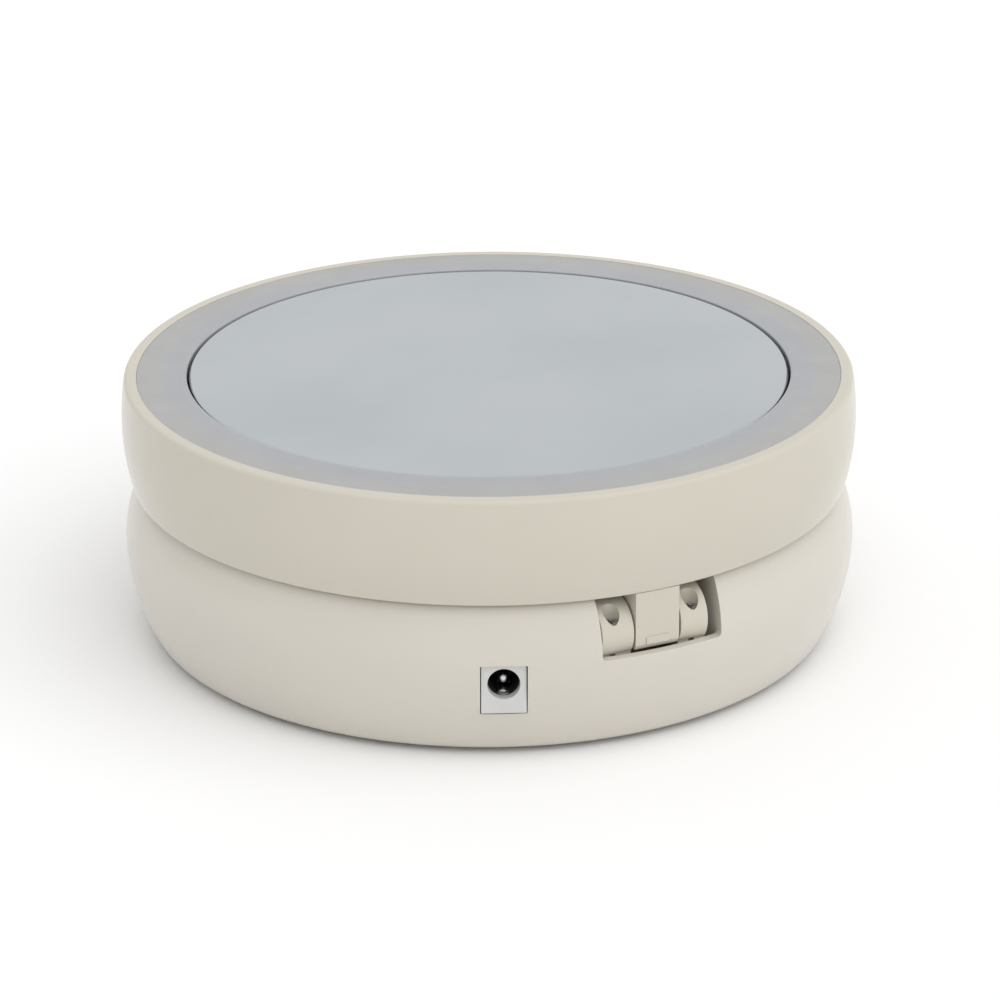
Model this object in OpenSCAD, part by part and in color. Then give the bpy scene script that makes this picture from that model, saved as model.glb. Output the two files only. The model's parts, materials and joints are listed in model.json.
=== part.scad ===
// Tilting, lighted turntable display stand: a weighted base, a hinged head with a light ring,
// and a mirror platter that a geared motor turns inside the ring.
// Origin: middle of the base, on the surface it stands on. +Z up, hinge on the -Y side. Millimetres.

/* [Overall] */
// Widest radius of the base and of the head
tier_r = 77.5; // [77:0.1:78]
// Height of the whole stand
total_h = 56.2; // [56.2:0.1:57]
// Height of the base's top face
base_top = 33.2; // [33.1:0.1:33.3]
// Gap between the base and the head when closed
seam_gap = 0.5; // [0.4:0.1:0.6]
// Thickness of the moulded walls
wall = 2.2; // [2:0.1:2.4]
// Sides of a full circle
$fn = 96; // [48:8:160]

/* [Base] */
// Height of the base's widest ring
base_widest_z = 20.8; // [20.5:0.1:21]
// Radius of the arc above the widest ring
base_shoulder_arc = 22; // [21.5:0.1:22.5]
// Radius of the arc below the widest ring
base_flank_arc = 38.6; // [38:0.1:39]
// Radius of the bottom plate
plate_r = 67.4; // [67:0.1:67.6]
// Height that the feet lift the base shell
foot_lift = 1; // [0.8:0.1:1.2]
// Radius of one rubber foot
foot_r = 6; // [5:0.5:7]
// Outer radius of the steel ballast ring
ballast_r = 47; // [44:1:47]
// Thickness of the ballast ring
ballast_t = 4.6; // [3.6:0.2:4.6]

/* [Head] */
// Height of the head's widest ring
head_widest_z = 46.4; // [46:0.1:47]
// Radius of the arc above the widest ring
head_rim_arc = 60; // [58:1:62]
// Radius of the arc below the widest ring
head_flank_arc = 45.7; // [45:0.1:46.5]
// Outer radius of the frosted light ring
diffuser_r = 74.1; // [74:0.05:74.2]
// Inner radius of the frosted light ring
diffuser_inner_r = 63.6; // [63.5:0.05:63.7]
// Number of light-emitting chips under the ring
led_count = 24; // [12:2:36]

/* [Platter] */
// Radius of the mirror
mirror_r = 63.1; // [62.8:0.1:63.1]
// Thickness of the mirror
mirror_t = 3; // [2.6:0.1:3]
// How far the mirror sits below the rim
mirror_recess = 0.3; // [0.3:0.1:0.5]
// Radius of the spindle
spindle_r = 3; // [2.5:0.5:3]
// Distance from the spindle to each support roller
roller_track_r = 52; // [51:0.5:53]
// Radius of a support roller
roller_r = 5; // [4.5:0.1:5]

/* [Drive gears] */
// Tooth module
gear_module = 0.8; // [0.8]
// Teeth on the platter gear
gear_teeth = 60; // [60]
// Teeth on the motor pinion
pinion_teeth = 16; // [16]
// Thinning of each tooth at the pitch circle, for backlash
backlash = 0.3; // [0.2:0.05:0.4]

/* [Hinge] */
// Distance of the hinge pin behind the middle
hinge_y = 69.3; // [69.2:0.1:69.4]
// Height of the hinge pin
hinge_z = 25; // [24.9:0.1:25.1]
// Sideways offset of the hinge arm
arm_dx = 0.4; // [0.3:0.1:0.5]
// Width of the pocket in the base
pocket_w = 26.9; // [26.9:0.1:27.2]
// Sideways offset of the pocket
pocket_dx = 1.15; // [1.1:0.05:1.2]
// Height of the lip under the pocket's opening
lip_z = 21.1; // [20.9:0.1:21.3]
// Height of the floor behind the lip
pocket_floor = 17.4; // [17.2:0.1:17.5]
// Radius of the two round ears
ear_r = 6.3; // [6.2:0.05:6.35]
// Width of the ear on the -X side
left_ear_w = 7; // [6.8:0.1:7]
// Width of the ear on the +X side
right_ear_w = 6; // [5.8:0.1:6.4]
// Width of the head's hinge arm
arm_w = 9.7; // [9.5:0.1:9.7]
// Radius of the hinge pin
pin_r = 1.5; // [1.4:0.1:1.5]

/* [Power socket] */
// Angle of the socket round from the hinge
jack_angle = -23.8; // [-25:0.1:-23]
// Width of the socket's face
jack_w = 9; // [8.8:0.1:9.2]
// Height of the socket's face
jack_h = 10.2; // [10:0.1:10.3]
// Bore of the socket
jack_bore_r = 3.25; // [3.1:0.05:3.3]
// Radius of the socket's centre pin
jack_pin_r = 1.05; // [1:0.05:1.25]

/* [Power button] */
// Radius of the button
button_r = 4; // [3.5:0.1:4.2]
// Travel of the button
button_travel = 0.8; // [0.5:0.1:0.8]

/* [Hidden] */

IVORY = [0.90, 0.87, 0.79];
WHITE = [0.93, 0.93, 0.92];
FROST = [0.86, 0.86, 0.89];
SILVER = [0.75, 0.77, 0.79];
STEEL = [0.62, 0.63, 0.65];
BRASS = [0.80, 0.66, 0.36];
GREEN = [0.10, 0.35, 0.20];
BLACK = [0.10, 0.10, 0.11];

gap = 0.2;                              // between pieces that meet but don't press together
eps = 0.01;
big = 200;
flank_steps = 9;                        // straight lines in each flank's arc
corner_steps = 4;                       // and in each corner's

// Base levels
shell_bottom = foot_lift;
plate_top = shell_bottom + 2.2;
deck_under = base_top - wall;
base_corner_r = 3;
base_top_edge_r = 1.5;
boss_ring_r = 58;                       // four screw posts at 45 degrees
foot_ring_r = 57;                       // four feet on the axes
ballast_z = plate_top + gap;
board_z = 9.4;
board_t = 1.6;
board_post_x = [-13, 13];

// Head levels
head_bottom = base_top + seam_gap;
floor_z = head_bottom + gap;
floor_t = 2;
floor_top = floor_z + floor_t;
floor_r = 73.2;
ledge_z = 41.2;
ledge_t = 1.5;
tray_z = ledge_z + ledge_t;
tray_t = 1.2;
led_board_z = tray_z + tray_t;
diffuser_t = 2;
diffuser_z = total_h - 0.1 - diffuser_t;
rim_inner_r = diffuser_r + 0.1;
post_ring_r = 68.4;                     // four posts that hold the head's floor

// Platter levels
mirror_z = total_h - mirror_recess - mirror_t;
pad_t = 0.4;
platter_t = 2.2;
platter_z = mirror_z - pad_t - platter_t;
platter_r = mirror_r - 0.5;
hub_r = 7;
gear_t = 3.6;
gear_z = platter_z - gear_t;
hub_z = gear_z - 2;
bush_top = hub_z - 0.8;
washer_t = 0.4;
running = 0.05;                         // radial clearance of a turning fit

// Motor
gear_pitch_r = gear_module * gear_teeth / 2;
pinion_pitch_r = gear_module * pinion_teeth / 2;
motor_y = gear_pitch_r + pinion_pitch_r;
motor_r = 12.5;
motor_top = gear_z - 1;
motor_shaft_r = 1.5;
motor_ear_x = 17;

// Rollers
roller_w = 5;
roller_z = platter_z - 0.3 - roller_r;
axle_r = 1.2;
cheek_t = 1.6;
roller_angles = [90, 210, 330];

// Hinge, measured from the pin unless said otherwise
arm_turn_r = 6.7;                       // the arm's lower end stays inside this radius
arm_front = 6.2;                        // forward to the arm's flat face
arm_under = 3.6;                        // down to the arm's lower end
arm_root_front = 73 - hinge_y;          // forward to the stem that passes through the head's floor
arm_stem = 7;                           // the stem's depth, front to back
arm_side_gap = 0.45;
arm_screw_y = [8, 14];
ears = [[arm_dx - arm_w / 2 - arm_side_gap - left_ear_w, left_ear_w],      // [start, width] along X
        [arm_dx + arm_w / 2 + arm_side_gap, right_ear_w]];
bracket_back = hinge_y - 8.7;           // back face of the bracket, from the stand's middle
bracket_t = 1.6;
pocket_back = bracket_back - 0.1;
lip_inner_r = tier_r - 1.9;             // inside face of the lip, from the stand's middle
hinge_screw_x = [-9, 8.7];              // from the stand's middle
hinge_screw_y = hinge_y + 4;
hinge_screw_seat = hinge_z + 1.6;
hinge_screw_hole_r = 1.75;
pin_ends = [ears[0][0] + 1, ears[1][0] + right_ear_w - 1];

// Socket and button
jack_face = tier_r - 0.8;
jack_top = 21.3;
jack_depth = 14;
jack_hole_z = jack_top - 3.9;
jack_pin_start = 3.6;                   // depth at which the pin's rounded tip begins
button_z = 16;
button_face = tier_r - 0.12;

// ---------- shared shapes ----------

module disc(r, z0, z1) {
    translate([0, 0, z0]) cylinder(r = r, h = z1 - z0);
}

module ring(r_out, r_in, z0, z1) {
    difference() {
        disc(r_out, z0, z1);
        disc(r_in, z0 - 1, z1 + 1);
    }
}

// Places its children at equal angles round the Z axis
module around(count, radius, first = 0) {
    for (i = [0 : count - 1])
        rotate([0, 0, first + i * 360 / count]) translate([radius, 0, 0]) children();
}

// Turns children drawn on the -Y side to the socket's place
module at_jack() {
    rotate([0, 0, jack_angle]) children();
}

// A cylinder along X
module bar_x(r, x0, x1) {
    translate([x0, 0, 0]) rotate([0, 90, 0]) cylinder(r = r, h = x1 - x0);
}

// A cylinder along Y
module bar_y(r, y0, y1) {
    translate([0, y0, 0]) rotate([-90, 0, 0]) cylinder(r = r, h = y1 - y0);
}

// A pan-head screw pointing up, its head's underside at z = 0
module screw(shank_r, length, head_r, head_h) {
    difference() {
        union() {
            cylinder(r = shank_r, h = length);
            translate([0, 0, -head_h]) cylinder(r = head_r, h = head_h);
        }
        for (a = [0, 90])
            rotate([0, 0, a])
                translate([-head_r * 0.62, -head_r * 0.13, -head_h - eps])
                    cube([head_r * 1.24, head_r * 0.26, head_h * 0.55]);
    }
}

// A round lead through the given points
module lead(points, r) {
    for (i = [0 : len(points) - 2]) {
        step = points[i + 1] - points[i];
        flat = norm([step[0], step[1]]);
        translate(points[i])
            rotate([0, atan2(flat, step[2]), atan2(step[1], step[0])])
                cylinder(r = r, h = norm(step), $fn = 24);
        if (i < len(points) - 2) translate(points[i + 1]) sphere(r = 1.06 * r, $fn = 24);
    }
}

// Points along an arc from angle a0 to a1
function arc(x, z, r, a0, a1, steps) =
    [for (i = [0 : steps]) let (a = a0 + (a1 - a0) * i / steps) [x + r * cos(a), z + r * sin(a)]];

// One side of a bulged drum's outline, from just past its widest ring up to the end of its corner
function flank(r, arc_r, height, corner) =
    let (reach = arc_r - corner,
         meet = asin((height - corner) / reach),
         rise = arc(r - arc_r, 0, arc_r, meet / flank_steps, meet, flank_steps - 1),
         turn = arc(r - arc_r + reach * cos(meet), height - corner, corner, meet, 90, corner_steps))
    concat(rise, [for (i = [1 : corner_steps]) turn[i]]);

// Half-section of a bulged drum whose widest ring is at height z
module drum_section(r, z, high, low) {
    under = [for (p = low) [p[0], z - p[1]]];
    over = [for (p = high) [p[0], z + p[1]]];
    down_to = under[len(under) - 1][1];
    up_to = over[len(over) - 1][1];
    polygon(concat([[0, down_to]], [for (i = [len(under) - 1 : -1 : 0]) under[i]], [[r, z]], over,
                   [[0, up_to]]));
}

// Half-section of the base: inset 0 is its outside
module base_section(inset) {
    drum_section(tier_r - inset, base_widest_z,
        flank(tier_r - inset, base_shoulder_arc - inset, base_top - base_widest_z, base_top_edge_r),
        flank(tier_r - inset, base_flank_arc - inset, base_widest_z - shell_bottom, base_corner_r));
}

// Half-section of the head: inset 0 is its outside
module head_section(inset) {
    drum_section(tier_r - inset, head_widest_z,
        flank(tier_r - inset, head_rim_arc - inset, total_h - head_widest_z, 1),
        flank(tier_r - inset, head_flank_arc - inset, head_widest_z - head_bottom, 0.5));
}

// Tooth flank's half-angle at radius r, for an involute gear with a 20 degree pressure angle
function involute(a) = tan(a) * 180 / PI - a;
function flank_angle(r, pitch_r, teeth) =
    let (base_r = pitch_r * cos(20), a = r > base_r ? acos(base_r / r) : 0)
    90 / teeth - backlash * 90 / (PI * pitch_r) + involute(20) - involute(a);

module gear(teeth, thickness) {
    pitch_r = gear_module * teeth / 2;
    root_r = pitch_r - 1.25 * gear_module;
    levels = [root_r, pitch_r - 0.5 * gear_module, pitch_r, pitch_r + 0.5 * gear_module,
              pitch_r + 0.95 * gear_module];
    up = [for (r = levels) [r, -flank_angle(r, pitch_r, teeth)]];
    down = [for (i = [len(levels) - 1 : -1 : 0]) [levels[i], flank_angle(levels[i], pitch_r, teeth)]];
    linear_extrude(thickness)
        polygon([for (t = [0 : teeth - 1], p = concat(up, down))
                     let (a = t * 360 / teeth + p[1]) [p[0] * cos(a), p[0] * sin(a)]]);
}

// ---------- base ----------

// The hinge pocket: an opening above the lip, and a deeper trough behind it
module pocket_space() {
    corner = 0.8;
    half = pocket_w / 2;
    translate([pocket_dx, -pocket_back, 0]) rotate([90, 0, 0]) linear_extrude(big) {
        translate([-half, lip_z + corner]) square([2 * half, big]);
        translate([-half + corner, lip_z]) square([2 * (half - corner), big]);
        for (x = [-half + corner, half - corner])
            translate([x, lip_z + corner]) circle(corner);
    }
    intersection() {
        translate([pocket_dx - half, -big - pocket_back, pocket_floor])
            cube([2 * half, big, lip_z + 1 - pocket_floor]);
        disc(lip_inner_r, 0, total_h);
    }
}

// The walls round the pocket, inside the base's own wall
module pocket_walls() {
    half = pocket_w / 2 + wall;
    intersection() {
        translate([pocket_dx - half, -big - pocket_back + wall, pocket_floor - wall])
            cube([2 * half, big, base_top - pocket_floor + wall - 0.5]);
        rotate_extrude() base_section(0.5);
    }
}

module base_shell() color(IVORY) difference() {
    union() {
        difference() {
            rotate_extrude() base_section(0);
            intersection() {
                rotate_extrude() base_section(wall);
                disc(big, plate_top - eps, deck_under);
            }
        }
        pocket_walls();
        around(4, boss_ring_r, 45) disc(4, plate_top, deck_under + 1);
        for (x = hinge_screw_x) translate([x, -hinge_screw_y + 1.2, 0]) disc(2.6, 8, pocket_floor - 1);
    }
    pocket_space();
    disc(plate_r + gap, -1, plate_top);
    around(4, boss_ring_r, 45) disc(1.2, plate_top - 1, 20);
    for (x = hinge_screw_x) translate([x, -hinge_screw_y, 0]) disc(0.95, 9, pocket_floor + 1);
    at_jack() translate([-jack_w / 2 - gap, -big, jack_top - jack_h - gap])
        cube([jack_w + 2 * gap, big - jack_face + 6, jack_h + 2 * gap]);
    translate([0, 0, button_z]) bar_y(button_r + 0.3, tier_r - 6, tier_r + 1);
    around(3, 62, 90) disc(3 + gap, base_top - 0.9, base_top + 1);
}

module base_plate() color(IVORY) difference() {
    union() {
        disc(plate_r, shell_bottom, plate_top);
        // posts for the main board
        at_jack() for (x = board_post_x) translate([x, -56, 0]) disc(3, plate_top - 1, board_z);
        // posts for the ballast ring's screws
        around(3, 8, 90) disc(2.6, plate_top - 1, ballast_z + ballast_t);
        // slotted rails that hold the switch board upright
        for (x = [-9.6, 7]) translate([x, 62.4, plate_top - 1]) cube([2.6, 4.8, 9]);
    }
    around(4, foot_ring_r) disc(foot_r + gap, 0, shell_bottom + 1);
    around(4, boss_ring_r, 45) {
        disc(1.6, 0, plate_top + 1);
        disc(3.1, 0, shell_bottom + 1.2);
    }
    at_jack() for (x = board_post_x) translate([x, -56, 0]) disc(0.9, plate_top + 1, board_z + 1);
    around(3, 8, 90) disc(0.9, plate_top, ballast_z + ballast_t + 1);
    translate([-8, 64.2, plate_top]) cube([16, 2, 20]);
}

module base_screws() color(STEEL)
    around(4, boss_ring_r, 45) translate([0, 0, shell_bottom + 1.2]) screw(1.15, 12, 2.8, 1);

module rubber_feet() color(BLACK)
    around(4, foot_ring_r) {
        disc(foot_r - 0.6, 0, 0.5);
        disc(foot_r, 0.5, shell_bottom + 0.9);
    }

module ballast_ring() color(STEEL) difference() {
    ring(ballast_r, 12, ballast_z, ballast_z + ballast_t);
    // holes for lifting it into place
    around(2, 30) disc(3, 0, 20);
}

module ballast_screws() color(STEEL)
    around(3, 8, 90) translate([0, 0, ballast_z + ballast_t + 1.5]) mirror([0, 0, 1]) {
        translate([0, 0, 0.7]) cylinder(r = 5.5, h = 0.7);
        screw(0.85, 5, 2, 1.2);
    }

module main_board() color(GREEN) at_jack() difference() {
    translate([-16, -70, board_z]) cube([32, 26, board_t]);
    for (x = board_post_x) translate([x, -56, 0]) disc(1.3, 0, 20);
}

// Driver chip, capacitor, coil and two lead sockets on the main board
module board_parts() at_jack() translate([0, 0, board_z + board_t]) {
    color(BLACK) translate([-4, -56, 0]) cube([8, 6, 1.4]);
    color(BLACK) translate([-13, -50, 0]) disc(3, 0, 7);
    color(STEEL) translate([9, -51, 0]) cube([6, 6, 3]);
    color(WHITE) for (x = [-8, 1]) translate([x, -47.6, 0]) cube([6, 3.4, 5]);
}

module board_screws() color(STEEL) at_jack()
    for (x = board_post_x)
        translate([x, -56, board_z + board_t]) mirror([0, 0, 1]) screw(0.85, 6, 2, 1.2);

module dc_jack_body() color(WHITE) at_jack() difference() {
    translate([-jack_w / 2, -jack_face, jack_top - jack_h])
        cube([jack_w, jack_depth, jack_h]);
    translate([0, 0, jack_hole_z]) bar_y(jack_bore_r, -jack_face - 1, -jack_face + 10);
    // slot under the bore for the side contact
    translate([-1.7, -jack_face + 2, jack_hole_z - jack_bore_r - 1])
        cube([3.4, 8, 2.4]);
}

module dc_jack_pin() color(SILVER) at_jack() translate([0, -jack_face, jack_hole_z]) {
    bar_y(jack_pin_r, jack_pin_start, 10);
    translate([0, jack_pin_start, 0]) sphere(r = jack_pin_r);
}

module dc_jack_spring() color(SILVER) at_jack() {
    translate([-1.4, -jack_face + 2.4, jack_hole_z - jack_bore_r - 0.9])
        cube([2.8, 7.4, 0.4]);
    translate([-1.4, -jack_face + 2.4, jack_hole_z - jack_bore_r - 0.9])
        cube([2.8, 0.4, 1.6]);
}

module switch_board() color(GREEN)
    translate([-7.9, 64.3, plate_top + eps]) cube([15.8, board_t, 20]);

module tact_switch() translate([0, 64.3 + board_t, button_z]) {
    color(BLACK) translate([-3, 0, -3]) cube([6, 3, 6]);
    color(SILVER) bar_y(1.6, 3, 3.9);
}

module power_button() color(IVORY) translate([0, 0, button_z]) {
    bar_y(button_r, 73.4, button_face);
    bar_y(button_r + 1.3, 72.2, 73.4);
    bar_y(1.8, 64.3 + board_t + 3.9 + button_travel + 0.3, 72.2);
}

// Three soft pads that the closed head rests on
module deck_pads() color(BLACK)
    around(3, 62, 90) disc(3, base_top - 0.9, base_top + 0.35);

module base_lead() color(BLACK)
    at_jack() lead([[4, -46, board_z + 7], [4, -46, 20], [10, -50, 25], [22, -50, 26], [22.8, -53.3, 26]], 1);

// ---------- hinge ----------

module hinge_bracket() color(IVORY) difference() {
    union() {
        for (ear = ears) translate([ear[0], -hinge_y, hinge_z]) {
            bar_x(ear_r, 0, ear[1]);
            translate([0, 0, -ear_r + 0.3]) cube([ear[1], hinge_y - bracket_back - 0.8, 2 * ear_r - 0.6]);
            // foot that stands on the pocket's floor
            translate([0, -4.9, pocket_floor + 0.05 - hinge_z])
                cube([ear[1], 4.9 + hinge_y - bracket_back - 0.8, hinge_z - pocket_floor - 2]);
        }
        translate([ears[0][0], -bracket_back - bracket_t, pocket_floor + 0.05])
            cube([ears[1][0] + right_ear_w - ears[0][0], bracket_t, hinge_z + 5.5 - pocket_floor]);
    }
    translate([0, -hinge_y, hinge_z]) bar_x(pin_r, pin_ends[0], pin_ends[1]);
    for (x = hinge_screw_x) translate([x, -hinge_screw_y, 0]) {
        disc(hinge_screw_hole_r, hinge_screw_seat, total_h);
        disc(1.1, 0, total_h);
    }
}

module hinge_screws() color(SILVER)
    for (x = hinge_screw_x)
        translate([x, -hinge_screw_y, hinge_screw_seat]) mirror([0, 0, 1]) screw(0.9, 15, 1.6, 1.1);

module hinge_pin() color(STEEL)
    translate([0, -hinge_y, hinge_z]) bar_x(pin_r, pin_ends[0] + 0.1, pin_ends[1] - 0.1);

module hinge_washers() color(STEEL)
    for (x = [ears[0][0] + left_ear_w, ears[1][0] - 0.25])
        translate([x, -hinge_y, hinge_z]) difference() {
            bar_x(3.4, 0, 0.25);
            bar_x(pin_r + running, -1, 1);
        }

// The strap that hangs from the head's floor, with its knuckle round the pin
module hinge_arm() color(IVORY) translate([arm_dx - arm_w / 2, -hinge_y, hinge_z]) difference() {
    union() {
        intersection() {
            bar_x(arm_turn_r, 0, arm_w);
            translate([0, -arm_front, -arm_under]) cube([arm_w, arm_front + 4.4, 20]);
        }
        translate([0, -arm_front, 0])
            cube([arm_w, arm_front - arm_root_front + arm_stem, head_bottom - 0.05 - hinge_z]);
        translate([0, -arm_root_front, 0]) cube([arm_w, arm_stem, floor_top - hinge_z + 2]);
        translate([0, -arm_root_front, floor_top - hinge_z]) cube([arm_w, 20, 2]);
        // small tab across the lower end
        translate([arm_w / 2 - 2.5, -arm_front - 0.3, -2.6]) cube([5, 2, 1.5]);
    }
    bar_x(pin_r + running, -1, arm_w + 1);
    for (y = arm_screw_y) translate([arm_w / 2, y, floor_top - hinge_z - 1]) cylinder(r = 1.3, h = 5);
}

// ---------- head ----------

module head_shell() color(IVORY) difference() {
    union() {
        difference() {
            rotate_extrude() head_section(0);
            intersection() {
                rotate_extrude() head_section(wall);
                disc(big, head_bottom - 1, diffuser_z - 0.2);
            }
            disc(rim_inner_r, diffuser_z - 4, total_h + 1);
            disc(floor_r + 0.1, head_bottom - 1, floor_top);
        }
        ring(tier_r - wall + 0.3, diffuser_inner_r + 0.2, ledge_z, tray_z);
        around(4, post_ring_r, 45) disc(3, floor_top + 0.05, ledge_z + 0.5);
    }
    around(4, post_ring_r, 45) disc(1, floor_top - 1, ledge_z - 0.4);
}

module head_floor() color(IVORY) difference() {
    union() {
        disc(floor_r, floor_z, floor_top);
        disc(hub_r + 0.5, floor_top - 1, bush_top - 0.6);
        for (x = [-motor_ear_x, motor_ear_x])
            translate([x, motor_y, 0]) disc(2.6, floor_top - 1, floor_top + 3);
    }
    disc(5 + eps, floor_top - 1, total_h);
    for (x = [-motor_ear_x, motor_ear_x]) translate([x, motor_y, 0]) disc(0.9, floor_top - 1, total_h);
    around(4, post_ring_r, 45) {
        disc(1.3, 0, total_h);
        disc(2.4, 0, floor_z + 1);
    }
    // slot for the hinge arm, and its two screws
    translate([arm_dx - arm_w / 2 - gap, -hinge_y - arm_root_front - gap, 0])
        cube([arm_w + 2 * gap, arm_stem + 2 * gap, total_h]);
    for (y = arm_screw_y) translate([arm_dx, y - hinge_y, 0]) {
        disc(1.3, 0, total_h);
        disc(2.4, 0, floor_z + 1);
    }
}

module head_screws() color(STEEL)
    around(4, post_ring_r, 45) translate([0, 0, floor_z + 1]) screw(0.95, 5.6, 2.1, 0.9);

module hinge_arm_screws() color(STEEL)
    for (y = arm_screw_y) translate([arm_dx, y - hinge_y, floor_z + 1]) {
        screw(1.2, 4.6, 2.1, 0.9);
        // nut
        translate([0, 0, floor_top + 2.05 - floor_z - 1]) cylinder(r = 2.3, h = 1.4, $fn = 6);
    }

// White channel that holds the light ring's board and reflects its light upwards
module light_tray() color(WHITE) {
    ring(73.6, diffuser_inner_r + 0.2, tray_z + eps, tray_z + tray_t);
    ring(73.6, 72.6, tray_z + 0.6, diffuser_z - 0.05);
    ring(diffuser_inner_r + 1.3, diffuser_inner_r + 0.2, tray_z + 0.6, diffuser_z - 0.05);
}

module led_board() color(WHITE)
    ring(72.4, diffuser_inner_r + 1.5, led_board_z + eps, led_board_z + 1.2);

module led_chips()
    around(led_count, 68.8, 7.5) {
        color(WHITE) translate([-2.5, -2.5, led_board_z + 1.2]) cube([5, 5, 1.2]);
        color(BRASS) disc(1.9, led_board_z + 2.3, led_board_z + 2.5);
    }

module diffuser_ring() color(FROST)
    ring(diffuser_r, diffuser_inner_r, diffuser_z, diffuser_z + diffuser_t);

module motor_can() color(STEEL) translate([0, motor_y, 0]) difference() {
    union() {
        disc(motor_r, floor_top + eps, motor_top - 0.8);
        disc(3.4, motor_top - 1, motor_top);
        translate([-motor_ear_x, -3, floor_top + 3.05]) cube([2 * motor_ear_x, 6, 1]);
        for (x = [-motor_ear_x, motor_ear_x]) translate([x, 0, 0]) disc(3, floor_top + 3.05, floor_top + 4.05);
    }
    disc(motor_shaft_r + running, motor_top - 3, motor_top + 1);
    for (x = [-motor_ear_x, motor_ear_x]) translate([x, 0, 0]) disc(1.2, 0, total_h);
}

module motor_screws() color(STEEL)
    for (x = [-motor_ear_x, motor_ear_x])
        translate([x, motor_y, floor_top + 4.1]) mirror([0, 0, 1]) screw(0.85, 4.5, 2, 1.2);

module spindle_bush() color(BRASS)
    ring(5, spindle_r + running, floor_top - 0.9, bush_top);

module thrust_washer() color(WHITE)
    ring(6.4, spindle_r + 0.3, bush_top + eps, bush_top + washer_t);

module roller_brackets() color(WHITE)
    for (a = roller_angles) rotate([0, 0, a]) translate([roller_track_r, 0, 0]) difference() {
        union() {
            half = roller_w / 2 + 0.3 + cheek_t;
            translate([-half, -4.5, floor_top + eps]) cube([2 * half, 9, 1.6]);
            for (x = [-half, half - cheek_t])
                translate([x, -3, floor_top + 1]) cube([cheek_t, 6, roller_z - floor_top + 1.8]);
        }
        translate([0, 0, roller_z]) bar_x(axle_r, -10, 10);
    }

module roller_axles() color(STEEL)
    for (a = roller_angles) rotate([0, 0, a]) translate([roller_track_r, 0, roller_z])
        bar_x(axle_r - 0.005, -roller_w / 2 - cheek_t - 0.8, roller_w / 2 + cheek_t + 0.8);

module head_lead() color(BLACK)
    translate([0, 0, floor_top + 1.2])
        lead([[9, -58, 0], [14, -46, 0], [22, -20, 0], [22, 12, 0], [10, 22, 0]], 1);

// ---------- turning platter and its drive ----------

module mirror_disc() color(SILVER) rotate_extrude() difference() {
    translate([0, mirror_z]) square([mirror_r, mirror_t]);
    // polished bevel
    translate([mirror_r, mirror_z + mirror_t]) rotate([0, 0, 45]) square(1.2, center = true);
}

module mirror_pad() color(BLACK) ring(mirror_r - 3, 10, mirror_z - pad_t + eps, mirror_z - eps);

module platter() color(IVORY) difference() {
    union() {
        disc(platter_r, platter_z, platter_z + platter_t);
        disc(hub_r, hub_z, platter_z + 1);
    }
    disc(spindle_r, 0, total_h);
    disc(4.2, platter_z + 0.8, total_h);
}

module platter_gear() color(WHITE) difference() {
    translate([0, 0, gear_z - eps]) gear(gear_teeth, gear_t);
    disc(hub_r, 0, total_h);
    around(6, 14) disc(3.4, 0, total_h);
}

module spindle() color(STEEL) difference() {
    disc(spindle_r - 0.001, floor_top - 0.7, platter_z + 0.7);
    disc(0.9, platter_z - 6, total_h);
}

module spindle_screw() color(STEEL)
    translate([0, 0, platter_z + 0.85]) mirror([0, 0, 1]) screw(0.85, 6, 4, 1.2);

module motor_pinion() color(BRASS) translate([0, motor_y, 0]) difference() {
    // turned so that a gap faces the platter gear's tooth
    translate([0, 0, gear_z]) rotate([0, 0, 180 / pinion_teeth]) gear(pinion_teeth, gear_t - 0.4);
    disc(motor_shaft_r, 0, total_h);
}

module motor_shaft() color(STEEL) translate([0, motor_y, 0])
    disc(motor_shaft_r - 0.001, motor_top - 2.6, gear_z + gear_t - 0.6);

module roller(a) color(BLACK) rotate([0, 0, a]) translate([roller_track_r, 0, roller_z]) difference() {
    bar_x(roller_r, -roller_w / 2, roller_w / 2);
    bar_x(axle_r + running, -10, 10);
}

module roller_1() roller(roller_angles[0]);
module roller_2() roller(roller_angles[1]);
module roller_3() roller(roller_angles[2]);

base_shell();
base_plate();
base_screws();
rubber_feet();
ballast_ring();
ballast_screws();
main_board();
board_parts();
board_screws();
dc_jack_body();
dc_jack_pin();
dc_jack_spring();
switch_board();
tact_switch();
hinge_bracket();
hinge_screws();
hinge_pin();
hinge_washers();
deck_pads();
base_lead();
power_button();
head_shell();
head_floor();
head_screws();
hinge_arm();
hinge_arm_screws();
light_tray();
led_board();
led_chips();
diffuser_ring();
motor_can();
motor_screws();
spindle_bush();
thrust_washer();
roller_brackets();
roller_axles();
head_lead();
mirror_disc();
mirror_pad();
platter();
platter_gear();
spindle();
spindle_screw();
motor_pinion();
motor_shaft();
roller_1();
roller_2();
roller_3();
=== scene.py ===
"""Looks of the tilting, lighted turntable display stand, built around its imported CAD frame.

Metres throughout. The hinge and the power socket are on the -Y side, and +Z is up.
"""
import json
import math

import bmesh
import bpy
from mathutils import Matrix, Vector


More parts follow.
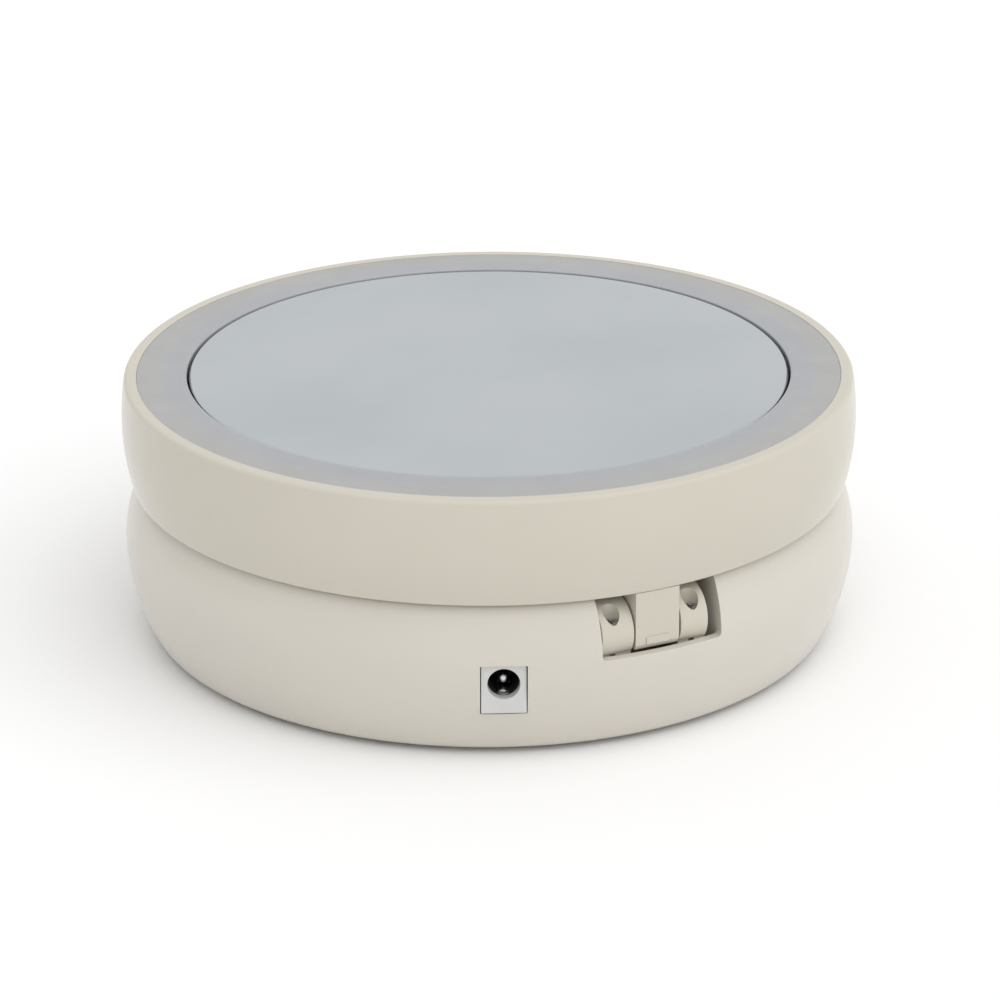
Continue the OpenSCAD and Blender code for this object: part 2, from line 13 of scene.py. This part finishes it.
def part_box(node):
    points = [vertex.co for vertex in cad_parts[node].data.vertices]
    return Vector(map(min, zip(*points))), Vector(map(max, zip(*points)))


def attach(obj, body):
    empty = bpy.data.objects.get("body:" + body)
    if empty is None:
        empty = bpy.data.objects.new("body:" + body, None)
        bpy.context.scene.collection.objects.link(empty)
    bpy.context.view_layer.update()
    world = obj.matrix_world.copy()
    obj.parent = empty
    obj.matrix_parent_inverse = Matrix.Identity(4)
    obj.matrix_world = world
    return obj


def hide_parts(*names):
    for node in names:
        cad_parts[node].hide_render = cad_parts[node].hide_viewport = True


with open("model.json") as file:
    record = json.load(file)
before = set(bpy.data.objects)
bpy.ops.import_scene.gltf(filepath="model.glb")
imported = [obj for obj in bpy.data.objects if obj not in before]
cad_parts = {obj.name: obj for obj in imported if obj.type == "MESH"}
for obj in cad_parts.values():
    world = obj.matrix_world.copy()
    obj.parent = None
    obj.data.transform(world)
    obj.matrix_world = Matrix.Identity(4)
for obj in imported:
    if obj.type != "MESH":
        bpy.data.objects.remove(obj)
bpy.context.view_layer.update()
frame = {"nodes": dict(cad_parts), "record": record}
NODES = frame["nodes"]
MM = 0.001

# ---------------------------------------------------------------- frame measures


def low(node):
    return Vector(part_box(node)[0])


def high(node):
    return Vector(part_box(node)[1])


TIER_R = high("head_shell").x
HEAD_TOP = high("head_shell").z
HEAD_BOTTOM = low("head_shell").z
BASE_TOP = high("base_shell").z
BASE_BOTTOM = low("base_shell").z
DIFFUSER_R = high("diffuser_ring").x
MIRROR_R = high("mirror_disc").x
MIRROR_TOP = high("mirror_disc").z
MIRROR_BOTTOM = low("mirror_disc").z

# ---------------------------------------------------------------- camera, floor, light

LENS_MM, SENSOR_MM = 144, 36
CAMERA_DISTANCE = 0.8444
CAMERA_AIM = (-0.0024, -0.0101, 0.0297)
ELEVATION, AZIMUTH, ROLL = (math.radians(a) for a in (21.96, 25.92, -0.28))
FLOOR_HALF = 30
SKY_STRENGTH = 0.78
SUN_ENERGY, SUN_SPREAD = 1.35, math.radians(80)
SUN_DIRECTION = (0.2, -0.6, 1.0)


def add_camera():
    """A long lens that looks a little down at the stand, from the hinge side."""
    aim = Vector(CAMERA_AIM)
    back = Vector((-math.sin(AZIMUTH) * math.cos(ELEVATION),
                   -math.cos(AZIMUTH) * math.cos(ELEVATION), math.sin(ELEVATION)))
    data = bpy.data.cameras.new("camera")
    data.lens, data.sensor_width = LENS_MM, SENSOR_MM
    camera = bpy.data.objects.new("camera", data)
    bpy.context.collection.objects.link(camera)
    camera.location = aim + back * CAMERA_DISTANCE
    turn = (-back).to_track_quat("-Z", "Y").to_matrix().to_4x4() @ Matrix.Rotation(ROLL, 4, "Z")
    camera.rotation_euler = turn.to_euler()
    bpy.context.scene.camera = camera


def add_stage():
    """A plain pale floor, an even white sky and one very soft sun."""
    mesh = bpy.data.meshes.new("floor")
    bm = bmesh.new()
    bmesh.ops.create_grid(bm, x_segments=1, y_segments=1, size=FLOOR_HALF)
    bm.to_mesh(mesh)
    bm.free()
    floor = bpy.data.objects.new("floor", mesh)
    bpy.context.collection.objects.link(floor)
    floor.data.materials.append(plain_material("floor_white", (0.93, 0.93, 0.93), 0.7))
    world = bpy.data.worlds.new("studio")
    world.use_nodes = True
    world.node_tree.nodes["Background"].inputs["Color"].default_value = (1, 1, 1, 1)
    world.node_tree.nodes["Background"].inputs["Strength"].default_value = SKY_STRENGTH
    bpy.context.scene.world = world
    bpy.context.scene.view_settings.view_transform = "Standard"
    overhead = bpy.data.objects.new("overhead", bpy.data.lights.new("overhead", "SUN"))
    overhead.data.energy, overhead.data.angle = SUN_ENERGY, SUN_SPREAD
    overhead.rotation_euler = Vector(SUN_DIRECTION).to_track_quat("Z", "Y").to_euler()
    overhead.visible_glossy = False
    bpy.context.collection.objects.link(overhead)


# ---------------------------------------------------------------- material helpers


class Shader:
    """A Principled material with a few procedural helpers."""

    def __init__(self, name, colour, roughness, metallic=0.0):
        self.material = bpy.data.materials.new(name)
        self.material.use_nodes = True
        self.tree = self.material.node_tree
        self.bsdf = self.tree.nodes["Principled BSDF"]
        self.colour = colour
        self.set("Base Color", (*colour, 1))
        self.set("Roughness", roughness)
        self.set("Metallic", metallic)
        self.height = None
        self.where = self.tree.nodes.new("ShaderNodeTexCoord").outputs["Object"]

    def set(self, socket, value):
        self.bsdf.inputs[socket].default_value = value

    def noise(self, scale, detail=3.0, stretch=(1, 1, 1)):
        """Noise from 0 to 1, scale in features a metre."""
        mapping = self.tree.nodes.new("ShaderNodeMapping")
        mapping.inputs["Scale"].default_value = stretch
        self.tree.links.new(self.where, mapping.inputs["Vector"])
        node = self.tree.nodes.new("ShaderNodeTexNoise")
        node.inputs["Scale"].default_value = scale
        node.inputs["Detail"].default_value = detail
        self.tree.links.new(mapping.outputs["Vector"], node.inputs["Vector"])
        return node.outputs["Fac"]

    def map_range(self, value, to_low, to_high, from_low=0.3, from_high=0.7):
        node = self.tree.nodes.new("ShaderNodeMapRange")
        node.interpolation_type = "SMOOTHSTEP"
        for name, number in (("From Min", from_low), ("From Max", from_high),
                             ("To Min", to_low), ("To Max", to_high)):
            node.inputs[name].default_value = number
        self.tree.links.new(value, node.inputs["Value"])
        return node.outputs["Result"]

    def mottle(self, value, other, amount):
        """Mixes the base colour towards other where value is high."""
        mix = self.tree.nodes.new("ShaderNodeMix")
        mix.data_type = "RGBA"
        source = self.bsdf.inputs["Base Color"]
        if source.is_linked:
            self.tree.links.new(source.links[0].from_socket, mix.inputs["A"])
        else:
            mix.inputs["A"].default_value = source.default_value
        mix.inputs["B"].default_value = (*other, 1)
        self.tree.links.new(self.map_range(value, 0, amount), mix.inputs["Factor"])
        self.tree.links.new(mix.outputs["Result"], source)
        return self

    def rough(self, value, lowest, highest):
        """Lets the roughness wander between two values."""
        self.tree.links.new(self.map_range(value, lowest, highest), self.bsdf.inputs["Roughness"])
        return self

    def bump(self, value, depth, strength=1.0):
        """Adds relief, depth in metres."""
        node = self.tree.nodes.new("ShaderNodeBump")
        node.inputs["Distance"].default_value = depth
        node.inputs["Strength"].default_value = strength
        if self.height:
            self.tree.links.new(self.height, node.inputs["Normal"])
        self.tree.links.new(value, node.inputs["Height"])
        self.height = node.outputs["Normal"]
        self.tree.links.new(self.height, self.bsdf.inputs["Normal"])
        return self

    def radius(self):
        """Distance from the Z axis, in metres."""
        flat = self.tree.nodes.new("ShaderNodeVectorMath")
        flat.operation = "MULTIPLY"
        flat.inputs[1].default_value = (1, 1, 0)
        self.tree.links.new(self.where, flat.inputs[0])
        length = self.tree.nodes.new("ShaderNodeVectorMath")
        length.operation = "LENGTH"
        self.tree.links.new(flat.outputs["Vector"], length.inputs[0])
        return length.outputs["Value"]


def plain_material(name, colour, roughness):
    shader = Shader(name, colour, roughness)
    shader.mottle(shader.noise(3), tuple(c * 0.985 for c in colour), 1.0)
    return shader.material


# ---------------------------------------------------------------- materials

IVORY = (0.570, 0.538, 0.460)
TINTED_AND_LIT_IVORY = (0.612, 0.578, 0.517)         # the base is a little paler than the head: partly its own pinker tint, partly painted bounce light from the floor


def ivory_plastic(name, colour):
    """Glossy moulded plastic: faint flow marks, a barely rippled skin, soft handling marks.

    The denoiser takes a roughness over 0.27 as matt and one under it as gloss, and draws an edge
    where the two meet, so every roughness range in this file stays on one side of it.
    """
    s = Shader(name, colour, 0.3)
    s.set("IOR", 1.5)
    s.set("Specular IOR Level", 0.3)
    s.set("Subsurface Weight", 0.06)
    s.set("Subsurface Radius", (0.004, 0.003, 0.002))
    s.mottle(s.noise(14, 2, (1, 1, 3)), tuple(c * 1.03 for c in colour), 0.6)
    s.mottle(s.noise(60, 3), tuple(c * 0.97 for c in colour), 0.3)
    s.rough(s.noise(45, 3), 0.16, 0.26)
    s.bump(s.noise(60, 1), 0.00008, 0.3)
    s.bump(s.noise(420, 1), 0.000008, 0.3)
    return s.material


def frosted_plastic():
    """Frosted light ring: fine satin skin over pale plastic, with painted light that makes it a little bluer
    towards the mirror.
    """
    s = Shader("frosted_plastic", (0.378, 0.380, 0.372), 0.4)
    s.set("Subsurface Weight", 0.25)
    s.set("Subsurface Radius", (0.004, 0.004, 0.004))
    # Painted light: a bluish tint that grows towards the mirror.
    inner_painted_light = s.map_range(s.radius(), 1, 0, MIRROR_R, DIFFUSER_R)
    s.mottle(inner_painted_light, (0.362, 0.368, 0.392), 1.0)
    s.mottle(s.noise(50, 3), (0.392, 0.395, 0.392), 0.4)
    s.rough(s.noise(120, 4), 0.34, 0.5)
    s.bump(s.noise(5200, 2), 0.000008, 0.5)
    return s.material


def mirror_silver():
    """Silvered glass with a light haze of handling marks."""
    s = Shader("mirror_silver", (0.625, 0.662, 0.685), 0.05, 1.0)
    s.mottle(s.noise(22, 5), (0.570, 0.615, 0.645), 0.9)
    s.rough(s.noise(38, 6), 0.03, 0.14)
    return s.material


def metal(name, colour, lowest, highest, stretch=(1, 1, 1), grain=900):
    """Bare or plated metal with a fine grain, its roughness between lowest and highest."""
    s = Shader(name, colour, lowest, 1.0)
    s.rough(s.noise(grain, 4, stretch), lowest, highest)
    s.mottle(s.noise(300, 3), tuple(c * 0.82 for c in colour), 0.5)
    s.bump(s.noise(grain * 2, 2, stretch), 0.000006, 0.5)
    return s.material


def moulded(name, colour, lowest, highest, tint=0.9):
    """Plain moulded plastic or rubber, clouded towards its colour times tint."""
    s = Shader(name, colour, lowest)
    s.mottle(s.noise(60, 3), tuple(c * tint for c in colour), 0.6)
    s.rough(s.noise(150, 4), lowest, highest)
    s.bump(s.noise(1800, 3), 0.00001, 0.4)
    return s.material


def circuit_board():
    """Green solder mask with paler tracks and pads under it."""
    s = Shader("circuit_board", (0.020, 0.130, 0.050), 0.28)
    tracks = s.tree.nodes.new("ShaderNodeTexBrick")
    tracks.inputs["Scale"].default_value = 220
    tracks.inputs["Mortar Size"].default_value = 0.05
    s.tree.links.new(s.where, tracks.inputs["Vector"])
    s.mottle(tracks.outputs["Fac"], (0.045, 0.230, 0.095), 1.0)
    s.rough(s.noise(300, 3), 0.28, 0.4)
    s.bump(tracks.outputs["Fac"], 0.00002, 0.5)
    return s.material


MATERIALS = {
    "ivory_plastic": ivory_plastic("ivory_plastic", IVORY),
    "frosted_plastic": frosted_plastic(),
    "white_plastic": moulded("white_plastic", (0.72, 0.72, 0.70), 0.35, 0.5),
    "socket_plastic": moulded("socket_plastic", (0.60, 0.60, 0.585), 0.38, 0.5),
    "contact_metal": metal("contact_metal", (0.78, 0.77, 0.74), 0.12, 0.26),
    "screw_steel": metal("screw_steel", (0.60, 0.60, 0.60), 0.28, 0.42),
    "motor_steel": metal("motor_steel", (0.50, 0.50, 0.51), 0.3, 0.5, (1, 1, 12)),
    "ballast_iron": metal("ballast_iron", (0.16, 0.16, 0.165), 0.5, 0.75, grain=500),
    "brass": metal("brass", (0.72, 0.55, 0.25), 0.28, 0.38),
    "rubber": moulded("rubber", (0.018, 0.018, 0.02), 0.6, 0.8, 1.5),
    "circuit_board": circuit_board(),
    "light_board": moulded("light_board", (0.80, 0.80, 0.79), 0.28, 0.4, 0.95),
    "light_chip": moulded("light_chip", (0.80, 0.72, 0.36), 0.28, 0.38, 0.9),
    "black_plastic": moulded("black_plastic", (0.020, 0.020, 0.022), 0.4, 0.6, 1.6),
    "mirror": mirror_silver(),
}
# The base's copy of the ivory is paler partly from painted bounce light, partly from its own pinker tint.
BASE_PLASTIC = ivory_plastic("tinted_and_lit_ivory_plastic", TINTED_AND_LIT_IVORY)


def dress_cad_nodes():
    """Gives every CAD node its slot's material."""
    for part in frame["record"]["subparts"]:
        node = NODES[part["node"]]
        node.data.materials.clear()
        node.data.materials.append(MATERIALS[part["material_slot"]])


# ---------------------------------------------------------------- mesh helpers

WELD = 0.002 * MM                       # joins points this close, to clear the booleans' slivers
SAME_POINT = 0.0001 * MM                # joins only points that are drawn twice
ROUND = 320                             # segments round the big turned pieces


def finish_mesh(name, bm, slot, body, replaced, smooth_deg=35, material=None):
    """Turns a bmesh into a piece that rides on a body and stands for CAD nodes."""
    bmesh.ops.remove_doubles(bm, verts=bm.verts, dist=WELD)
    bmesh.ops.dissolve_degenerate(bm, dist=WELD, edges=bm.edges)
    bmesh.ops.recalc_face_normals(bm, faces=bm.faces)
    mesh = bpy.data.meshes.new(name)
    bm.to_mesh(mesh)
    bm.free()
    piece = bpy.data.objects.new(name, mesh)
    bpy.context.collection.objects.link(piece)
    shade(piece, smooth_deg)
    piece.modifiers.new("even_normals", "WEIGHTED_NORMAL").keep_sharp = True
    mesh.materials.append(material or MATERIALS[slot])
    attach(piece, body)
    if replaced:
        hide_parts(*replaced)
    return piece


def shade(piece, smooth_deg):
    """Smooth shading, broken at edges sharper than smooth_deg."""
    mesh = piece.data
    mesh.polygons.foreach_set("use_smooth", [True] * len(mesh.polygons))
    sharp = math.radians(smooth_deg)
    bm = bmesh.new()
    bm.from_mesh(mesh)
    for edge in bm.edges:
        edge.smooth = len(edge.link_faces) == 2 and edge.calc_face_angle(0) < sharp
    bm.to_mesh(mesh)
    bm.free()


def arc(x, z, r, a0, a1, steps):
    """Points along an arc, angles in degrees."""
    angles = (math.radians(a0 + (a1 - a0) * i / steps) for i in range(steps + 1))
    return [(x + r * math.cos(a), z + r * math.sin(a)) for a in angles]


def lathe(profile, segments=256, closed=True):
    """A solid of revolution about Z, from (radius, height) points.

    closed joins the last point to the first; otherwise both lie on the axis.
    """
    bm = bmesh.new()
    rings = []
    for i in range(segments):
        a = 2 * math.pi * i / segments
        rings.append([bm.verts.new((r * math.cos(a), r * math.sin(a), z)) for r, z in profile])
    count = len(profile)
    for i in range(segments):
        here, there = rings[i], rings[(i + 1) % segments]
        for j in range(count if closed else count - 1):
            k = (j + 1) % count
            bm.faces.new((here[j], there[j], there[k], here[k]))
    bmesh.ops.remove_doubles(bm, verts=bm.verts, dist=SAME_POINT)
    return bm


def flank(r, arc_r, height, corner, steps=24, corner_steps=8):
    """One side of a bulged drum's outline, from its widest ring to the end of its rounded corner."""
    reach = arc_r - corner
    meet = math.degrees(math.asin((height - corner) / reach))
    rise = arc(r - arc_r, 0, arc_r, 0, meet, steps)
    turn = arc(r - arc_r + reach * math.cos(math.radians(meet)), height - corner, corner, meet, 90,
               corner_steps)
    return rise + turn[1:]


def evaluated(piece, kind, **settings):
    """The piece's mesh as one modifier leaves it."""
    modifier = piece.modifiers.new(kind.lower(), kind)
    for key, value in settings.items():
        setattr(modifier, key, value)
    mesh = bpy.data.meshes.new_from_object(piece.evaluated_get(bpy.context.evaluated_depsgraph_get()))
    piece.modifiers.clear()
    return mesh


def temporary(bm):
    """A throw-away object that holds a bmesh."""
    mesh = bpy.data.meshes.new("tool")
    bmesh.ops.recalc_face_normals(bm, faces=bm.faces)
    bm.to_mesh(mesh)
    bm.free()
    piece = bpy.data.objects.new("tool", mesh)
    bpy.context.collection.objects.link(piece)
    return piece


def combined(bm, *steps):
    """The solid after a row of ("UNION", "DIFFERENCE" or "INTERSECT", bmesh) steps."""
    piece = temporary(bm)
    for operation, tool_bm in steps:
        tool = temporary(tool_bm)
        piece.data = evaluated(piece, "BOOLEAN", object=tool, operation=operation, solver="EXACT")
        bpy.data.objects.remove(tool)
    result = bmesh.new()
    result.from_mesh(piece.data)
    bpy.data.objects.remove(piece)
    return result


def softened(bm, width, segments=3):
    """The solid with its sharp edges rounded over."""
    piece = temporary(bm)
    piece.data = evaluated(piece, "BEVEL", width=width, segments=segments, limit_method="ANGLE",
                           angle_limit=math.radians(30))
    result = bmesh.new()
    result.from_mesh(piece.data)
    bpy.data.objects.remove(piece)
    return result


def cad_solid(node):
    """A clean copy of a CAD node's mesh, its flat faces joined up."""
    bm = bmesh.new()
    bm.from_mesh(NODES[node].data)
    bmesh.ops.remove_doubles(bm, verts=bm.verts, dist=SAME_POINT)
    bmesh.ops.dissolve_limit(bm, angle_limit=math.radians(0.5), verts=bm.verts, edges=bm.edges)
    return bm


def block(lowest, highest, turn=0.0):
    """A box between two corners, turned about Z by turn radians."""
    bm = bmesh.new()
    bmesh.ops.create_cube(bm, size=1)
    size = Vector(highest) - Vector(lowest)
    middle = (Vector(highest) + Vector(lowest)) / 2
    bm.transform(Matrix.Rotation(turn, 4, "Z") @ Matrix.Translation(middle) @ Matrix.Diagonal((*size, 1)))
    return bm


def rod(radius, start, end, segments=64):
    """A closed cylinder between two points."""
    bm = bmesh.new()
    along = Vector(end) - Vector(start)
    bmesh.ops.create_cone(bm, cap_ends=True, segments=segments, radius1=radius, radius2=radius,
                          depth=along.length)
    bm.transform(Matrix.Translation((Vector(start) + Vector(end)) / 2)
                 @ along.to_track_quat("Z", "Y").to_matrix().to_4x4())
    return bm


def merged(*parts):
    """Several bmeshes as one, with nothing joined."""
    bm = bmesh.new()
    for part in parts:
        mesh = bpy.data.meshes.new("part")
        part.to_mesh(mesh)
        part.free()
        bm.from_mesh(mesh)
        bpy.data.meshes.remove(mesh)
    return bm


# ---------------------------------------------------------------- pieces

WALL = 2.2 * MM
CUT_GAP = 0.2 * MM                      # round the socket, and between pieces that meet
SOCKET_TURN = math.radians(-23.8)
SOCKET_W = 9 * MM
SOCKET_FACE = -TIER_R + 0.8 * MM        # along -Y, before the turn
BORE_R = 3.25 * MM
BORE_Z = high("dc_jack_body").z - 3.9 * MM


def make_head_shell():
    """The head's wall: bulged outside, with a thin rim round the light ring and a ledge for the tray."""
    widest_z, rim_arc, wall_arc = 46.4 * MM, 60 * MM, 45.7 * MM
    top_corner, foot_corner = 1.0 * MM, 0.5 * MM
    upper = [(r, widest_z + z) for r, z in flank(TIER_R, rim_arc, HEAD_TOP - widest_z, top_corner)]
    lower = [(r, widest_z - z) for r, z in flank(TIER_R, wall_arc, widest_z - HEAD_BOTTOM, foot_corner)]
    floor_r = high("head_floor").x + 0.1 * MM
    floor_top = HEAD_BOTTOM + WALL
    rim_r = DIFFUSER_R + 0.03 * MM
    rim_round, rim_slope, wall_draft = 0.12 * MM, 0.8 * MM, 0.6 * MM
    rim_foot = low("diffuser_ring").z - 1.5 * MM
    ledge_r = MIRROR_R + 0.7 * MM
    ledge_high = low("light_tray").z
    ledge_low = ledge_high - 1.5 * MM
    inner_r = TIER_R - WALL - 0.2 * MM
    inside = arc(rim_r + rim_round, HEAD_TOP - rim_round, rim_round, 90, 180, 5)
    inside += [(rim_r, rim_foot), (inner_r, rim_foot - rim_slope), (inner_r, ledge_high),
               (ledge_r, ledge_high), (ledge_r, ledge_low), (inner_r, ledge_low),
               (inner_r - wall_draft, floor_top), (floor_r, floor_top), (floor_r, HEAD_BOTTOM)]
    bm = lathe(lower[::-1] + upper[1:] + inside, ROUND)
    return finish_mesh("head_shell_moulding", bm, "ivory_plastic", "head", ["head_shell"])


def base_outline(inset):
    """Points up the base's outside, or up a surface set in from it."""
    widest_z, shoulder_arc, wall_arc = 20.8 * MM, 22 * MM, 38.6 * MM
    deck_corner, foot_corner = 1.5 * MM, 3 * MM
    high_side = flank(TIER_R - inset, shoulder_arc - inset, BASE_TOP - widest_z - inset, deck_corner)
    low_side = flank(TIER_R - inset, wall_arc - inset, widest_z - BASE_BOTTOM, foot_corner)
    return ([(r, widest_z - z) for r, z in low_side[::-1]]
            + [(r, widest_z + z) for r, z in high_side[1:]])


def drum(inset):
    """The base's outside, filled in."""
    points = base_outline(inset)
    return lathe([(0, points[0][1])] + points + [(0, points[-1][1])], ROUND, closed=False)


def pocket_tools():
    """The walls that the hinge pocket needs, and the space that is cut out of them."""
    left, right = -12.3 * MM, 14.6 * MM
    lip_top, lip_t, corner = 21.1 * MM, 1.9 * MM, 0.8 * MM
    floor = low("hinge_bracket").z - 0.05 * MM
    back = high("hinge_bracket").y + 0.1 * MM
    walls = combined(block((left - WALL, -TIER_R, floor - WALL),
                           (right + WALL, back + WALL, BASE_TOP - 0.5 * MM)), ("INTERSECT", drum(0.5 * MM)))
    opening = softened(block((left, -2 * TIER_R, lip_top), (right, back, 2 * BASE_TOP)), corner, segments=4)
    trough = combined(block((left, -TIER_R, floor), (right, back, lip_top + 1 * MM)),
                      ("INTERSECT", rod(TIER_R - lip_t, (0, 0, 0), (0, 0, BASE_TOP), ROUND)))
    return walls, combined(opening, ("UNION", trough))


def make_base_shell():
    """The bulged bowl with its deck, cut away for the hinge, the socket, the button and the deck's pads."""
    plate_r, plate_top = high("base_plate").x + CUT_GAP, BASE_BOTTOM + WALL
    outside = [(plate_r, BASE_BOTTOM)] + base_outline(0) + [(0, BASE_TOP)]
    inside = [(r, z) for r, z in base_outline(WALL) if z > plate_top][::-1]
    bm = lathe(outside + [(0, BASE_TOP - WALL)] + inside + [(plate_r, plate_top)], ROUND)
    post_at, post_r = 41 * MM, 4 * MM
    posts = [rod(post_r, (x, y, plate_top), (x, y, BASE_TOP - 1 * MM))
             for x in (-post_at, post_at) for y in (-post_at, post_at)]
    socket_low, socket_high = low("dc_jack_body"), high("dc_jack_body")
    half = SOCKET_W / 2 + CUT_GAP
    past_wall, cut_depth = 1.1 * TIER_R, 6 * MM
    # The socket's foot stands proud of the wall, so the gap under it is wider, to be seen from above.
    socket = block((-half, -past_wall, socket_low.z - 2 * CUT_GAP),
                   (half, -TIER_R + cut_depth, socket_high.z + CUT_GAP), SOCKET_TURN)
    button_z = (low("power_button").z + high("power_button").z) / 2
    button_r = 4.3 * MM
    button = rod(button_r, (0, TIER_R - cut_depth, button_z), (0, past_wall, button_z))
    pad_ring, pad_r, pad_depth = 62 * MM, 3.2 * MM, 0.9 * MM
    pad_angles = [math.radians(deg) for deg in (90, 210, 330)]
    pad_spots = [(pad_ring * math.cos(a), pad_ring * math.sin(a)) for a in pad_angles]
    pads = [rod(pad_r, (x, y, BASE_TOP - pad_depth), (x, y, BASE_TOP + 2 * MM)) for x, y in pad_spots]
    walls, pocket = pocket_tools()
    bm = combined(bm, ("UNION", merged(walls, *posts)), ("DIFFERENCE", merged(pocket, socket, button, *pads)))
    bm = softened(bm, 0.3 * MM)
    return finish_mesh("base_shell_moulding", bm, "ivory_plastic", "base", ["base_shell"],
                       material=BASE_PLASTIC)


# ---------------------------------------------------------------- power socket


def at_socket(bm):
    """Turns a mesh drawn on the -Y side, its depth from the socket's face, to the socket's place."""
    bm.transform(Matrix.Rotation(SOCKET_TURN, 4, "Z") @ Matrix.Translation((0, SOCKET_FACE, BORE_Z)))
    return bm


def make_bore_shade_cup():
    """Painted shade: a thin dark cup inside the bore, behind its pale mouth, where the bore lies in shade."""
    mouth, end, skin = 1.9 * MM, 9.9 * MM, 0.12 * MM
    outer = BORE_R - 0.02 * MM
    profile = [(0, end), (outer, end), (outer, mouth), (outer - skin, mouth), (outer - skin, end - skin),
               (0, end - skin)]
    bm = lathe(profile, 96, closed=False)
    bm.transform(Matrix.Rotation(math.radians(-90), 4, "X"))
    # The black cup is painted shade that darkens the deep bore; the socket has no such part.
    return finish_mesh("bore_shade_cup", at_socket(bm), "black_plastic", "base", [])


def make_socket_spring():
    """Bent leaf contact that rises from the floor of the bore."""
    half_w, leaf_t, bend_r = 1.4 * MM, 0.25 * MM, 5.6 * MM
    bend_y, bend_z = 5.4 * MM, -7.5 * MM
    path = arc(bend_y, bend_z, bend_r, 130, 60, 14)
    inner = arc(bend_y, bend_z, bend_r - leaf_t, 60, 130, 14)
    bm = bmesh.new()
    outline = path + inner
    rings = [[bm.verts.new((x, y, z)) for y, z in outline] for x in (-half_w, half_w)]
    count = len(outline)
    for i in range(count):
        j = (i + 1) % count
        bm.faces.new((rings[0][i], rings[0][j], rings[1][j], rings[1][i]))
    half = len(path)
    for ring in rings:
        for i in range(half - 1):
            bm.faces.new((ring[i], ring[i + 1], ring[count - 2 - i], ring[count - 1 - i]))
    return finish_mesh("socket_spring_leaf", at_socket(bm), "contact_metal", "base", ["dc_jack_spring"], 50)


# ---------------------------------------------------------------- ring, mirror and small mouldings


def make_light_ring():
    """Frosted ring with soft edges and a very slight crown."""
    box_low, box_high = low("diffuser_ring"), high("diffuser_ring")
    inner = MIRROR_R + 0.5 * MM
    inner_edge, outer_edge, crown = 0.25 * MM, 0.06 * MM, 0.03 * MM
    side_top = box_high.z - crown
    profile = ([(inner, box_low.z)]
               + arc(inner + inner_edge, side_top - inner_edge, inner_edge, 180, 90, 6)
               + [((inner + DIFFUSER_R) / 2, box_high.z)]
               + arc(DIFFUSER_R - outer_edge, side_top - outer_edge, outer_edge, 90, 0, 3)
               + [(DIFFUSER_R, box_low.z)])
    return finish_mesh("light_ring_diffuser", lathe(profile, ROUND), "frosted_plastic", "head",
                       ["diffuser_ring"], 50)


def make_mirror():
    """Silvered disc with a finely ground edge."""
    bevel, ease = 0.35 * MM, 0.1 * MM
    profile = [(0, MIRROR_BOTTOM), (MIRROR_R - ease, MIRROR_BOTTOM), (MIRROR_R, MIRROR_BOTTOM + ease),
               (MIRROR_R, MIRROR_TOP - bevel), (MIRROR_R - bevel, MIRROR_TOP), (0, MIRROR_TOP)]
    return finish_mesh("mirror_plate", lathe(profile, ROUND, closed=False), "mirror", "platter",
                       ["mirror_disc"], 20)


def soften_cad(name, node, slot, body, width, material=None):
    """A copy of a CAD node with its edges rounded over."""
    return finish_mesh(name, softened(cad_solid(node), width), slot, body, [node], material=material)


SOFT_PIECES = (                         # name, CAD node, slot, body, edge radius, own material
    ("hinge_bracket_moulding", "hinge_bracket", "ivory_plastic", "base", 0.3 * MM),
    ("hinge_arm_moulding", "hinge_arm", "ivory_plastic", "head", 0.3 * MM),
    ("socket_housing", "dc_jack_body", "socket_plastic", "base", 0.15 * MM),
    ("power_button_cap", "power_button", "ivory_plastic", "power_button", 0.3 * MM, BASE_PLASTIC),
    ("base_plate_moulding", "base_plate", "ivory_plastic", "base", 0.2 * MM, BASE_PLASTIC),
    ("head_floor_moulding", "head_floor", "ivory_plastic", "head", 0.2 * MM),
    ("foot_pads", "rubber_feet", "rubber", "base", 0.2 * MM),
)

add_camera()
add_stage()
dress_cad_nodes()
make_head_shell()
make_base_shell()
make_light_ring()
make_mirror()
for soft_piece in SOFT_PIECES:
    soften_cad(*soft_piece)
# Painted shade inside the socket's bore.
make_bore_shade_cup()
make_socket_spring()
